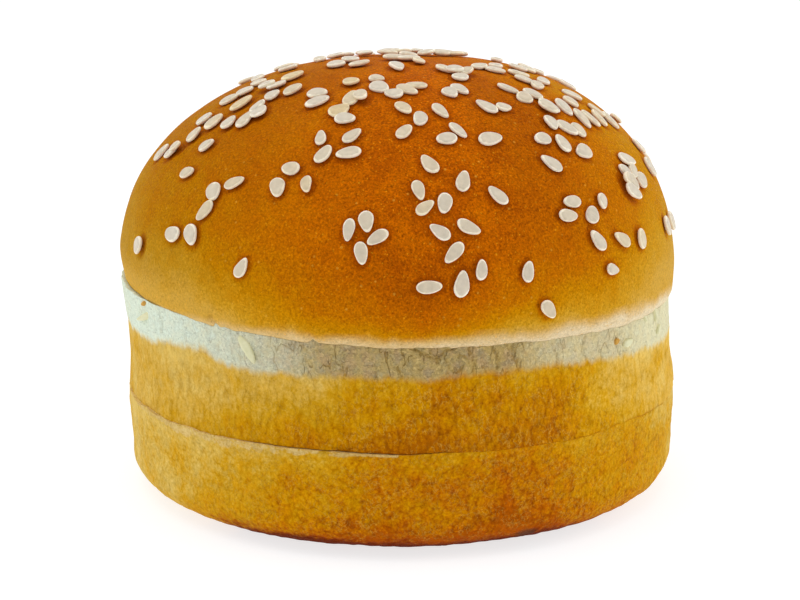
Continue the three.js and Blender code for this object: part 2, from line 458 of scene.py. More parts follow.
# Each crease is (turn, length, depth, width, wander).
LIP_CREASES = [(-35.6, 3.4, 0.55, 0.45, 0.5), (-15.2, 3.0, 0.40, 0.5, 0.4), (122, 4.0, 0.25, 0.6, 0.6)]
WALL_RADIUS = 45.0             # turns an angle into a distance along the bun's side
near_rim = 1 - rise(plain_height, RIM, RIM + 6)
crown_grid[..., 2] += near_rim * around(crown_turn, RIM_LIFT)


def crease(turn, height, at, low, high, width, wander=0.0):
    """How deep a point lies in an upright crease, from 0 outside it to 1 on its line."""
    middle = np.radians(at) + np.radians(wander) * np.sin((height - low) * 1.9)
    off_line = (turn - middle) * WALL_RADIUS / width
    ends = rise(height, low - 0.4, low + 0.3) * (1 - rise(height, high - 0.8, high + 0.4))
    return np.exp(-off_line**2) * ends


crown_out = outward(crown_grid)
push = layered(crown_grid, (0.18, 21, 0), (0.07, 7, 3), (0.02, 2.2, 9)) - 0.1
push -= around(crown_turn, LIP_TUCK) * (1 - rise(plain_height, RIM + 0.5, RIM + 8))
push -= around(crown_turn, FLANK_TUCK) * (1 - rise(plain_height, RIM + 8, RIM + 22))
push += 0.05 * (1 - rise(plain_height, RIM + 1, RIM + 7)) * hills(crown_grid, (1.6, 1.6, 6), 5)
for at, length, depth, width, wander in LIP_CREASES:
    push -= depth * crease(crown_turn, plain_height, at, RIM, RIM + length, width, wander)
push = push * (1 - on_cut) + on_cut * 0.12 * hills(crown_grid, 1.3, 2)

SEAT_MARGIN = 0.35             # how far a seed's seat reaches past its edge
SEAT_DEPTH = 0.12
# The seat is also the ring round each seed that the finish paints darker, as painted shadow.
seat_and_shade = np.zeros(crown_grid.shape[:2])
for seed in seeds:
    beside = crown_grid - seed["middle"]
    along = beside @ seed["tip"] / (seed["length"] / 2 + SEAT_MARGIN)
    across = beside @ seed["side"] / (seed["width"] / 2 + SEAT_MARGIN)
    depth = beside @ seed["out"] / 3
    apart = np.sqrt(along**2 + across**2 + depth**2)
    seat_and_shade = np.maximum(seat_and_shade, 1 - rise(apart, 0.85, 1.3))
push -= SEAT_DEPTH * seat_and_shade * (1 - on_cut)
crown_grid += push[..., None] * crown_out


def ragged(points):
    """How far the cut edge between crown and club wanders up or down."""
    return layered(points * (1, 1, 0), (0.14, 1.6, 6), (0.14, 5, 8))


lip_edge = (1 - rise(plain_height, RIM + 0.05, RIM + 1.1)) * (1 - on_cut)
crown_grid[..., 2] += ragged(crown_grid) * lip_edge

# %% [markdown]
# The crust isn't one colour. It browns most where the oven's heat reaches it, on the dome,
# and stays golden low on the sides. Just above the cut, where the dough leaned on the
# bread beside it, it hardly browns at all, and that pale edge is broad on one side and thin
# on the other. Numbers for these are kept at each point, and the finish turns them into
# colour.

# %% Browning of the crown
above_rim = plain_height - RIM
# How broad the pale edge is, and how cream it is instead of yellow.
PALE_EDGE = [(-180, 1.5), (-120, 1.3), (-60, 1.5), (-38, 1.75), (-25, 1.85), (-13, 1.75), (1, 1.5),
             (10, 1.55), (20, 1.9), (31, 2.2), (45, 2.5), (64, 2.8), (95, 2.3), (140, 1.8)]
CREAM_SHARE = [(-180, 0.5), (-120, 0.3), (-60, 0.3), (-30, 0.45), (-15, 0.6), (5, 0.65), (20, 0.75),
               (32, 0.9), (60, 1.0), (110, 0.9), (150, 0.6)]
cream = around(crown_turn, CREAM_SHARE)
pale_width = around(crown_turn, PALE_EDGE)
pale_width *= 1 + layered(crown_grid, (0.22, 4, 1), (0.1, (1.2, 1.2, 3), 2))
pale_edge = 1 - rise(above_rim, pale_width * 0.45, pale_width * 1.4 + 0.4)

# How brown each side gets, how high above the rim that starts, and how gradual it is.
MOST_BROWN = [(-180, 1.0), (-110, 0.85), (-75, 0.74), (-60, 0.84), (-45, 0.9), (-25, 0.83), (-15, 0.95),
              (-5, 1.12), (5, 1.12), (15, 1.06), (35, 1.08), (45, 0.85), (55, 0.75), (65, 0.55),
              (75, 0.5), (110, 0.85)]
BROWN_START = [(-180, 2.5), (-75, 5), (-45, 4), (-35, 3.3), (-25, 1.8), (-15, 1.0), (5, 1.3), (15, 1.4),
               (25, 2.3), (35, 2.5), (45, 3), (55, 4.5), (65, 7), (75, 8), (110, 4)]
BROWN_SPREAD = [(-180, 8), (-75, 22), (-60, 18), (-45, 16), (-35, 11), (-25, 8), (-15, 4.5), (-5, 4.5),
                (5, 2.4), (15, 3.5), (25, 7), (35, 9), (55, 11), (75, 10), (110, 9)]
TOP_BROWN = 0.95               # the sides' differences fade out towards the middle of the top
over_start = above_rim + 0.7 * hills(crown_grid, 7, 4) - around(crown_turn, BROWN_START)
browned = 1 - np.exp(-np.maximum(over_start, 0) / around(crown_turn, BROWN_SPREAD))
browned *= around(crown_turn, MOST_BROWN)
near_top = (1 - rise(plain_radius, 2, 24)) * rise(above_rim, 20, 28)
browned += (TOP_BROWN - browned) * near_top

# How much painted light or shade each side gets, and how much more painted light the front gets higher up.
PAINTED_SIDE_LIGHT = [(-180, 0.95), (-90, 0.78), (-55, 0.78), (-45, 0.82), (-35, 0.87), (-25, 0.93), (-5, 1.0),
                 (15, 1.04), (25, 0.98), (35, 0.96), (45, 0.96), (55, 0.96), (75, 0.92), (110, 0.95)]
PAINTED_TOP_LIGHT = [(-180, 0), (-32, 0), (-18, 0.08), (-5, 0.17), (6, 0.22), (15, 0.16), (28, 0), (180, 0)]
washed = 1 + (around(crown_turn, PAINTED_SIDE_LIGHT) - 1) * rise(above_rim, 2, 9)
washed += around(crown_turn, PAINTED_TOP_LIGHT) * rise(above_rim, 8, 18)
washed += (1 - washed) * near_top
crown = loaf_piece("crown_bread", crown_grid, browned=browned, pale_edge=pale_edge, cream=cream,
                   washed=washed, cut_face=on_cut, seed_seat=seat_and_shade)
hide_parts("crown")

# %% [markdown]
# ## The club
#
# The club is the slice between the two cuts. Its lower part touched the pan and has a thin
# golden skin, drawn upright in fine wrinkles as the dough rose. Above that line it touched
# only the dough beside it, so it stayed white, soft and a little torn, with fine pores and
# upright cracks. A loose flap of that white skin hangs just under the crown.

# %% Shape the club
CLUB_SIDES = 840
CLUB_FOOT = club_low[2]
CLUB_TOP = 31.3
CLUB_CUT_RADIUS = (club_high[1] - club_low[1]) / 2
BAND_RADIUS = 45.0
CLUB_EDGE = 0.2                # how round the club's top edge is
CUT_EDGE = 0.08                # how round the edges at the lower cut are
CUT_EDGE_RINGS = 4
CLUB_UNDER_RINGS = 9
CLUB_WALL_RINGS = 74
CLUB_EDGE_RINGS = 6
CLUB_TOP_RINGS = 20
CLUB_LEAN = -0.9               # its top stands this far towards -X
PRESSED_GAP = 0.02             # air between the crown's lip and the club's top edge
MOST_DRAWN = (-1.8, 2.2)       # how far that edge can be drawn down or up

wall_foot = CLUB_FOOT + CUT_EDGE
wall_top = CLUB_TOP - CLUB_EDGE
club_outline = np.concatenate([
    line((INNER_RADIUS, CLUB_FOOT), (CLUB_CUT_RADIUS - CUT_EDGE, CLUB_FOOT), CLUB_UNDER_RINGS),
    quarter((CLUB_CUT_RADIUS - CUT_EDGE, wall_foot), CUT_EDGE, CUT_EDGE, -90, 0, CUT_EDGE_RINGS),
    line((CLUB_CUT_RADIUS, wall_foot), (BAND_RADIUS, wall_top), CLUB_WALL_RINGS),
    quarter((BAND_RADIUS - CLUB_EDGE, wall_top), CLUB_EDGE, CLUB_EDGE, 0, 90, CLUB_EDGE_RINGS),
    line((BAND_RADIUS - CLUB_EDGE, CLUB_TOP), (INNER_RADIUS, CLUB_TOP), CLUB_TOP_RINGS),
])
club_grid, club_turn = swing(club_outline, CLUB_SIDES)
club_plain = club_grid.copy()
club_height = club_grid[..., 2].copy()
club_radius = radii(club_plain)
club_share = (club_height - CLUB_FOOT) / (CLUB_TOP - CLUB_FOOT)
club_cut = np.zeros(club_grid.shape[:2])
club_cut[:CLUB_UNDER_RINGS] = 1
club_cut[1 - CLUB_TOP_RINGS:] = 1
club_grid[..., 2] -= SLOPE * club_grid[..., 0] * club_share
club_grid[..., 0] += CLUB_LEAN * club_share**1.5
club_grid[..., 2] += around(club_turn, RIM_LIFT) * np.clip(club_share, 0, 1) ** 3

SKIN_LINE = [(-180, 27.6), (-120, 28.0), (-65, 28.0), (-55, 28.2), (-48, 28.9), (-41, 29.4),
             (-38.5, 29.2), (-36, 28.3), (-31, 27.5), (-15, 27.6), (0, 27.4), (7, 27.4), (21, 27.9),
             (30, 28.4), (40, 27.8), (53, 26.7), (63, 26.3), (90, 26.6), (140, 27.2)]
skin_line = around(club_turn, SKIN_LINE)
skin_line += layered(club_plain, (0.40, (4, 4, 40), 2), (0.25, (1.3, 1.3, 40), 7))
on_band = rise(club_grid[..., 2], skin_line - 0.9, skin_line + 0.6)

club_out = sideways(outward(club_grid), 1 - club_cut)
wrinkles = layered(club_plain, (0.11, (1.4, 1.4, 6), 1), (0.07, (0.7, 0.7, 2.6), 4))
lumps = layered(club_plain, (0.22, (16, 16, 9), 6), (0.12, 4.5, 3))
fluff = layered(club_plain, (0.20, (2.6, 2.6, 5), 8), (0.12, (1.2, 1.2, 2), 5), (0.05, 0.6, 2))
WAIST = [(-180, 0.2), (-90, 0.35), (0, 0), (90, 0.35)]
waist = around(club_turn, WAIST) * np.sin(np.pi * np.clip(club_share, 0, 1))
club_push = lumps + wrinkles * (1 - on_band) + fluff * on_band - waist

# Each crack and each crease is (turn, lowest height, highest height, width).
BAND_CRACKS = [(-28, 28.2, 29.6, 0.35), (-4.2, 27.4, 28.9, 0.3), (0.2, 27.3, 29.2, 0.3),
               (8.8, 28.2, 30.2, 0.25), (13.5, 28.4, 31.4, 0.35), (18.2, 28.6, 31.4, 0.3),
               (22, 28, 31.6, 0.3), (30.5, 28.2, 30.8, 0.28), (37.5, 27.2, 31.5, 0.38),
               (41.5, 27.5, 30.5, 0.3), (47, 27, 30.8, 0.3), (-44, 28, 29.8, 0.3),
               (-52, 29, 31.4, 0.3), (78, 27, 31, 0.35), (102, 27, 31, 0.4), (150, 28, 31, 0.35),
               (-150, 28, 31, 0.35)]
cracked = np.zeros(club_grid.shape[:2])
for at, low, high, width in BAND_CRACKS:
    cracked = np.maximum(cracked, crease(club_turn, club_height, at, low, high, width * 0.6, 0.5))
club_push -= 0.16 * cracked

SKIN_CREASES = [(-40.5, 24.0, 28.6, 0.4), (-33.5, 20.5, 26.5, 0.4), (44, 19.5, 26.0, 0.35),
                (29.5, 21.5, 24.2, 0.3), (49.5, 24, 26.6, 0.35), (-50, 22, 25, 0.35),
                (95, 20, 26, 0.4), (170, 19, 26, 0.4), (-120, 20, 27, 0.4)]
for at, low, high, width in SKIN_CREASES:
    club_push -= 0.20 * crease(club_turn, club_height, at, low, high, width, 0.5)

FLAP = [(1.2, 31.6), (4.0, 30.4), (6.8, 29.75), (8.2, 30.1), (12.5, 31.6)]    # its lower edge
flap_low = around(club_turn, FLAP)
flap_turn = np.degrees(club_turn)
inside_flap = (flap_turn > FLAP[0][0]) & (flap_turn < FLAP[-1][0])
flap = inside_flap * rise(club_grid[..., 2], flap_low - 0.12, flap_low + 0.16)
flap_gap = inside_flap * np.exp(-(((club_grid[..., 2] - flap_low + 0.2) / 0.14) ** 2))
club_push += 0.25 * flap - 0.2 * flap_gap
FLUSH = [(-180, 0), (-120, 0.2), (-90, 0.2), (-60, 0.3), (-30, 0.3), (-10, 0.1), (0, 0), (180, 0)]
club_push += around(club_turn, FLUSH) * rise(club_height, CLUB_TOP - 4, CLUB_TOP)
club_push = club_push * (1 - club_cut) + club_cut * 0.10 * hills(club_plain, 1.2, 3)
club_grid += club_push[..., None] * club_out

# %% [markdown]
# The crown's weight presses its lip onto the soft edge of the club, so no gap shows there.
# Under each column of the club's grid, the lip's own points say how high the edge may
# reach, and the edge is drawn up to just under them.

# %% Press the club's edge against the lip
lip_points = crown_grid[UNDER_RINGS - 1:UNDER_RINGS + LIP_RINGS]
lip_radius = radii(lip_points)
now_radius = radii(club_grid)
edge_ring = len(club_outline) - CLUB_TOP_RINGS - 4
for column in range(CLUB_SIDES):
    over = round(column * CROWN_SIDES / CLUB_SIDES) % CROWN_SIDES
    ceiling = np.interp(now_radius[:, column], lip_radius[:, over], lip_points[:, over, 2]) - PRESSED_GAP
    draw_up = np.clip(ceiling[edge_ring] - club_grid[edge_ring, column, 2], *MOST_DRAWN)
    share = rise(club_height[:, column], CLUB_TOP - 3, CLUB_TOP - 0.2)
    share = share * rise(club_radius[:, column], 41, 44)
    club_grid[:, column, 2] += draw_up * share
    near_edge = now_radius[:, column] > 42
    pressed = np.minimum(club_grid[:, column, 2], np.maximum(ceiling, CLUB_TOP - 0.5))
    club_grid[:, column, 2] = np.where(near_edge & (share > 0.5), pressed, club_grid[:, column, 2])

# %% [markdown]
# The lower cut is almost closed, because the club's weight presses on the heel. The edges
# of both slices wander a little up and down, so that the dark line between them comes and
# goes instead of being ruled.

# %% The lower cut's edges and the club's colour numbers
CUT_GAP = [(-180, 0.08), (-90, -0.08), (-46, -0.14), (-36, -0.1), (-25, 0.03), (-8, 0.06), (4, 0.02),
           (14, -0.08), (30, -0.12), (36, -0.05), (48, -0.12), (80, -0.08), (130, 0.08)]
EDGE_MEET = 0.13               # brings each edge this far towards the other
EDGE_ZONE = (40, 45)           # the radii between which all this sets in


def cut_wander(points):
    """How far both edges of the lower cut wander up or down together."""
    return layered(points * (1, 1, 0), (0.22, 6, 4), (0.06, 1.2, 4))


near_foot = 1 - rise(club_height, CLUB_FOOT, CLUB_FOOT + 2.5)
club_edge_push = around(club_turn, CUT_GAP) / 2 - EDGE_MEET + cut_wander(club_plain)
club_grid[..., 2] += near_foot * rise(club_radius, *EDGE_ZONE) * club_edge_push

# How brown the skin is, how much browner at its foot, how much painted shade the band gets,
# and how much warm painted light each side gets.
CLUB_BROWN = [(-180, 0.5), (-100, 0.15), (-65, 0.0), (-45, 0.03), (-35, 0.1), (-25, 0.22), (-15, 0.3),
              (-5, 0.6), (5, 0.72), (15, 0.74), (25, 0.68), (35, 0.5), (45, 0.2), (55, 0.1), (75, 0.0),
              (110, 0.2)]
FOOT_BROWN = [(-180, 0.2), (-60, 0.0), (-40, 0.05), (-25, 0.26), (-15, 0.36), (5, 0.26), (25, 0.24),
              (40, 0.08), (60, 0.02), (110, 0.1)]
BAND_SHADE = [(-180, 0.7), (-120, 0.4), (-65, 0.0), (-45, 0.12), (-31, 0.35), (-22, 0.55), (-13, 1.0),
              (20, 1.0), (31, 0.5), (45, 0.42), (60, 0.1), (100, 0.2)]
# Painted light: warm and bright on the right, cool on the left.
BAND_LIGHT_CAST = [(-180, 0.5), (-90, 0.1), (-40, 0.0), (0, 0.7), (40, 1.0), (90, 0.8)]
club_browned = around(club_turn, CLUB_BROWN)
club_browned += around(club_turn, FOOT_BROWN) * (1 - rise(club_height, CLUB_FOOT, 22))
club_browned += 0.10 * hills(club_plain, (6, 6, 5), 5) - 0.16 * rise(club_height, 23.5, 27)
club = loaf_piece("club_bread", club_grid, browned=club_browned, band=on_band,
                  cracked=np.maximum(cracked, flap_gap), shaded=around(club_turn, BAND_SHADE),
                  warmth=around(club_turn, BAND_LIGHT_CAST), cut_face=club_cut)
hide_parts("club")

# %% [markdown]
# ## The heel
#
# The heel stood in the pan, so its side is upright, its bottom corner is round and its base
# is flat, darkest where the hot metal was, with painted shadow along its lowest edge. On one
# side its cut edge stands out past the club and shows a ragged ledge of pale crumb.

# %% Shape the heel
HEEL_SIDES = 840
HEEL_TOP = heel_high[2]
HEEL_CUT_RADIUS = (heel_high[1] - heel_low[1]) / 2
HEEL_BOTTOM_RADIUS = 45.1
CORNER_REACH = 9.0
CORNER_RISE = 5.6
HEEL_FLAT_RINGS = 12           # on its base, and again on its cut face
CORNER_RINGS = 26
HEEL_WALL_RINGS = 30

flat_radius = HEEL_BOTTOM_RADIUS - CORNER_REACH
face_radius = HEEL_CUT_RADIUS - CUT_EDGE
heel_wall_top = HEEL_TOP - CUT_EDGE
heel_outline = np.concatenate([
    line((INNER_RADIUS, 0), (flat_radius, 0), HEEL_FLAT_RINGS),
    quarter((flat_radius, CORNER_RISE), CORNER_REACH, CORNER_RISE, -90, 0, CORNER_RINGS),
    line((HEEL_BOTTOM_RADIUS, CORNER_RISE), (HEEL_CUT_RADIUS, heel_wall_top), HEEL_WALL_RINGS),
    quarter((face_radius, heel_wall_top), CUT_EDGE, CUT_EDGE, 0, 90, CUT_EDGE_RINGS),
    line((face_radius, HEEL_TOP), (INNER_RADIUS, HEEL_TOP), HEEL_FLAT_RINGS),
])
heel_grid, heel_turn = swing(heel_outline, HEEL_SIDES)
heel_plain = heel_grid.copy()
heel_height = heel_grid[..., 2].copy()
heel_radius = radii(heel_grid)
heel_cut = np.zeros(heel_grid.shape[:2])
heel_cut[1 - HEEL_FLAT_RINGS:] = 1

heel_out = sideways(outward(heel_grid), rise(heel_height, HEEL_TOP - 2, HEEL_TOP - 1) * (1 - heel_cut))
heel_push = layered(heel_plain, (0.22, (15, 15, 10), 2), (0.10, 4.0, 7), (0.07, (1.5, 1.5, 3), 3),
                    (0.06, 0.9, 6))
off_base = rise(heel_height, 0.0, 1.2)

# How full the bottom corner is, how far the cut edge stands out, and how deep its ledge is.
CORNER_FULLNESS = [(-180, 0), (-90, 0.1), (-60, 0.3), (-30, 0.1), (0, 0.1), (25, 0.3), (50, 0.35),
                   (90, 0.1)]
LEDGE = [(-180, 0), (-110, -0.2), (-90, -0.4), (-75, -0.1), (-60, 0.35), (-35, 0.5), (-18, 0.3),
         (-6, 0.05), (4, 0), (60, 0), (75, -0.2), (90, -0.45), (110, -0.2)]
LEDGE_DEPTH = [(-180, 0), (-80, 0), (-66, 0.5), (-48, 1.6), (-34, 1.7), (-24, 1.2), (-14, 0.6),
               (-6, 0.15), (4, 0), (180, 0)]
heel_push += around(heel_turn, CORNER_FULLNESS) * (1 - rise(heel_height, 1, 8))
ledge = around(heel_turn, LEDGE)
ledge_depth = around(heel_turn, LEDGE_DEPTH) * (1 + 0.55 * hills(heel_plain * (1, 1, 0), 2.2, 1))
on_ledge = rise(heel_height, HEEL_TOP - ledge_depth - 0.35, HEEL_TOP - ledge_depth * 0.35)
on_ledge *= ledge_depth > 0.05
heel_push += on_ledge * layered(heel_plain, (0.16, 0.9, 8), (0.12, 2.0, 5))
heel_push = heel_push * off_base * (1 - heel_cut) + heel_cut * 0.10 * hills(heel_plain, 1.2, 9)
heel_grid += heel_push[..., None] * heel_out
near_cut = rise(heel_height, HEEL_TOP - 3.0, HEEL_TOP)
heel_grid[..., :2] *= (1 + near_cut * ledge / HEEL_CUT_RADIUS)[..., None]
heel_edge_push = EDGE_MEET - around(heel_turn, CUT_GAP) / 2 + cut_wander(heel_plain)
heel_grid[..., 2] += near_cut * rise(heel_radius, *EDGE_ZONE) * heel_edge_push
heel_grid[..., 2] = np.maximum(heel_grid[..., 2], heel_low[2])

# %% Browning of the heel
HEEL_BROWN = [(-180, 0.55), (-100, 0.2), (-62, 0.0), (-45, 0.14), (-35, 0.28), (-25, 0.4), (-15, 0.5),
              (-5, 0.7), (5, 0.72), (15, 0.78), (25, 0.86), (35, 0.64), (45, 0.52), (55, 0.42),
              (65, 0.26), (80, 0.14), (110, 0.3)]
# How far the base is darkened round the heel, partly as fried crust and partly as painted shadow at the
# table.
FRIED_AND_SHADED_SHARE = [(-180, 0.8), (-75, 0.1), (-58, 0.2), (-45, 0.5), (-35, 0.95), (-20, 1.2),
               (0, 1.25), (12, 1.05), (28, 1.0), (45, 0.7), (60, 0.45), (80, 0.3)]
SMUDGE_TURN, SMUDGE_HEIGHT, SMUDGE_SIZE = 24.6, 2.6, 1.05    # of a grey mark from the pan

fried_and_shaded_share = around(heel_turn, FRIED_AND_SHADED_SHARE)
scorched = fried_and_shaded_share * (1 - rise(heel_height + 0.9 * hills(heel_plain, 5, 2), 0.2, 5.6))
heel_browned = around(heel_turn, HEEL_BROWN) + 0.10 * hills(heel_plain, (7, 7, 5), 3)
heel_browned += 0.3 * (1 - rise(heel_height, 1.5, 8)) * fried_and_shaded_share
heel_browned -= 0.2 * rise(heel_height, 11.5, HEEL_TOP)
beside_smudge = (heel_turn - np.radians(SMUDGE_TURN)) * HEEL_CUT_RADIUS / 2
smudged = np.exp(-(beside_smudge**2 + (heel_height - SMUDGE_HEIGHT) ** 2) / SMUDGE_SIZE**2)
heel = loaf_piece("heel_bread", heel_grid, browned=heel_browned, crumb_ledge=on_ledge,
                  scorched=scorched, smudged=smudged, cut_face=heel_cut)
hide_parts("heel")

# %% [markdown]
# ## Seeds
#
# A hulled sesame seed is a flat teardrop: round at one end, pointed at the other, with a
# soft bead round its edge and a slightly hollow face. A grid again gives full control. It
# runs from the blunt end to the tip and round each cross-section. Each seed also stores how
# close a point is to the edge, because the thin edge is painted whiter than the dull middle,
# as painted light shining through it, and a tone of its own, because no two seeds are the
# same white.

# %% One teardrop
SEED_RINGS = 15
SEED_SPOKES = 20
seed_along = np.cos(np.linspace(np.pi, 0, SEED_RINGS))[1:-1]
seed_spoke = line(0, 2 * np.pi, SEED_SPOKES)


def teardrop(length, width, bend, taper):
    """A seed's points, its tip along +Y and its face up, and how close each is to its edge."""
    along = seed_along[:, None]
    narrowing = (1 - taper * rise(along, -0.6, 0.9)) / 0.94
    half_width = width / 2 * np.sqrt(1 - np.abs(along) ** 2.3) * narrowing
    half_thick = SEED_THICKNESS / 2 * (1 - along**2) ** 0.42
    across = np.cos(seed_spoke)[None] * np.ones_like(along)
    up = np.sign(np.sin(seed_spoke)) * np.abs(np.sin(seed_spoke)) ** 0.8
    x = half_width * across
    edge = np.clip(np.sqrt(np.abs(across) ** 2.2 * (1 - along**2) + along**2), 0, 1)
    hollow = 1 - 0.35 * np.exp(-((edge / 0.55) ** 2))
    z = half_thick * up[None] * np.where(up[None] > 0, hollow, 1)
    x += bend * (1 - along**2)
    y = np.broadcast_to(along * length / 2, x.shape)
    body = np.stack([x, y, z], -1).reshape(-1, 3)
    ends = np.array([[0, -length / 2, 0], [0, length / 2, 0]])
    return np.concatenate([body, ends]), np.append(edge.ravel(), [1, 1])


def joined(name, teardrops, tones):
    """One piece of several placed teardrops, each with a tone of its own."""
    count = len(teardrops[0][0])
    faces = []
    for number in range(len(teardrops)):
        faces += grid_faces(len(seed_along), SEED_SPOKES, number * count, turned=True)
    piece = place_mesh(name, np.concatenate([points for points, _ in teardrops]), faces)
    store(piece.data, "seed_edge", np.concatenate([edge for _, edge in teardrops]))
    store(piece.data, "seed_tone", np.repeat(tones, count))
    return piece


# %% [markdown]
# Seeds are joined by the part of the crown they lie on, because two hundred separate objects
# would be slow to handle and none of them moves on its own. Where two seeds meet, the later
# one lies on top of the earlier one, with its tip raised.

# %% Lay the seeds and join them by place
shake = np.random.default_rng(23)
SEED_ZONES = ("front", "left", "right", "top", "back")
TOP_REACHES, FRONT_REACHES, BACK_FROM = 34, 30, 95    # fall of the top's edge, and turns
TOUCHING = 1.9                 # two seeds whose middles are closer than this overlap
PILE_LIFT, PILE_TILT = 0.45, 0.12    # how the upper one of them is raised and tipped


def zone_of(seed):
    """The part of the crown that a seed lies on."""
    turn, fall = np.degrees(seed["turn"]), np.degrees(seed["fall"])
    if fall < TOP_REACHES:
        return "top"
    if abs(turn) < FRONT_REACHES:
        return "front"
    if abs(turn) > BACK_FROM:
        return "back"
    return "right" if turn > 0 else "left"


def laid_points(seed, lift=0.0, tip_up=0.0):
    """A seed's points in its place, a little tilted, and how close each is to its edge."""
    bend, taper = shake.normal(0, 0.08), shake.uniform(0.12, 0.4)
    points, edge = teardrop(seed["length"], seed["width"], bend, taper)
    roll, pitch = np.radians(shake.normal(0, 5)), np.radians(shake.normal(0, 3)) + tip_up
    side = seed["side"] * np.cos(roll) - seed["out"] * np.sin(roll)
    out = seed["out"] * np.cos(roll) + seed["side"] * np.sin(roll)
    tip = seed["tip"] * np.cos(pitch) + out * np.sin(pitch)
    out = np.cross(side, tip)
    middle = seed["middle"] + lift * seed["out"]
    return middle + points[:, :1] * side + points[:, 1:2] * tip + points[:, 2:] * out, edge


laid = []
for number, seed in enumerate(seeds):
    gaps = [np.linalg.norm(seed["middle"] - other["middle"]) for other in seeds[:number]]
    piled = (PILE_LIFT, PILE_TILT) if min(gaps, default=TOUCHING) < TOUCHING else ()
    laid.append((seed, laid_points(seed, *piled)))

seed_pieces = {}
for zone in SEED_ZONES:
    members = [(seed, points) for seed, points in laid if zone_of(seed) == zone]
    tones = [seed["tone"] or shake.random() ** 2 * 0.5 for seed, *_ in members]
    piece = joined(f"seeds_{zone}", [points for _, points in members], tones)
    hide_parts(*[seed["node"] for seed, *_ in members if seed["node"]])
    seed_pieces[zone] = piece
    print("seeds", zone, len(members))

# %% [markdown]
# ## Bits on the white band
#
# A few seeds and crumbs of crust fell onto the soft band while the bun was sliced and
# handled. Each is a small flat sliver made from the same teardrop, stood upright on the
# band. The nearest point of the club's own grid says how far out the band is there.

# %% Stray seeds and brown crumbs
STRAY_SEEDS = [(-28.2, 30.5, 143, 4.7, 1.45), (-58.6, 31.4, 246, 4.4, 1.1), (50.3, 28.7, 80, 2.4, 1.2),
               (57.5, 31.9, 150, 1.6, 0.5), (61.5, 31.7, 165, 3.6, 0.45), (64.5, 28.6, 60, 2.0, 1.1),
               (120, 29.5, 100, 3.2, 1.6), (-140, 30, 40, 2.6, 0.6)]
BROWN_CRUMBS = [(-58.5, 33.4, 240, 1.3, 0.6), (46.9, 29.2, 70, 1.2, 0.9),
                (-100, 29.8, 60, 1.1, 0.8), (150, 30.2, 0, 1.2, 0.7)]
BIT_PROUD = 0.12               # how far a sliver's middle stands off the band
BAND_LEAN = 0.15               # how much the slivers face upwards


def on_side(turn, height, heading, length, width):
    """A sliver lying upright on the club's side."""
    turn, heading = np.radians([turn, heading])
    gap = (club_turn - turn) ** 2 * CLUB_CUT_RADIUS**2 + (club_grid[..., 2] - height) ** 2
    gap[club_cut == 1] = np.inf
    spot = np.unravel_index(gap.argmin(), gap.shape)
    out = np.array([np.sin(turn), -np.cos(turn), BAND_LEAN])
    out /= np.linalg.norm(out)
    right = np.cross([0, 0, 1], out)
    right /= np.linalg.norm(right)
    tip = np.cos(heading) * np.cross(out, right) + np.sin(heading) * right
    return {"middle": club_grid[spot] + BIT_PROUD * out, "side": np.cross(tip, out), "tip": tip,
            "out": out, "length": length, "width": width}


def side_bits(name, rows, tone):
    """Joins slivers on the club's side into one piece."""
    return joined(name, [laid_points(on_side(*row)) for row in rows], [tone] * len(rows))


stray_seeds = side_bits("stray_seeds", STRAY_SEEDS, 0.35)
brown_crumbs = side_bits("brown_crumbs", BROWN_CRUMBS, 1.0)

# %% [markdown]
# ## Shader maths as Python
#
# A procedural finish is a graph of nodes, and most of them are small sums. One class wraps
# a socket, and its operators add the Math nodes, so that a finish can be read as plain
# expressions. A second class holds the material and makes any other node: it takes the
# node's type, the settings that have to be set first, and the values or links of its sockets.

# %% Sockets with operators
class Wire:
    """One output of a node, which sums and products turn into Math nodes."""

    def __init__(self, finish, socket):
        self.finish = finish
        self.socket = socket

    def maths(self, operation, *values, clamp=False):
        settings = {"operation": operation, "use_clamp": clamp}
        return self.finish.node("ShaderNodeMath", settings, dict(enumerate(values)))

    def __add__(self, other):
        return self.maths("ADD", self, other)

    def __sub__(self, other):
        return self.maths("SUBTRACT", self, other)

    def __rsub__(self, other):
        return self.maths("SUBTRACT", other, self)

    def __mul__(self, other):
        return self.maths("MULTIPLY", self, other)

    def __pow__(self, other):
        return self.maths("POWER", self, other)

    def __abs__(self):
        return self.maths("ABSOLUTE", self)

    def clamped(self):
        return self.maths("ADD", self, 0.0, clamp=True)

    def step(self, start, end):
        """0 below start and 1 above end, eased between them."""
        settings = {"interpolation_type": "SMOOTHSTEP", "clamp": True}
        sockets = {"Value": self, "From Min": start, "From Max": end}
        return self.finish.node("ShaderNodeMapRange", settings, sockets)

    __radd__ = __add__


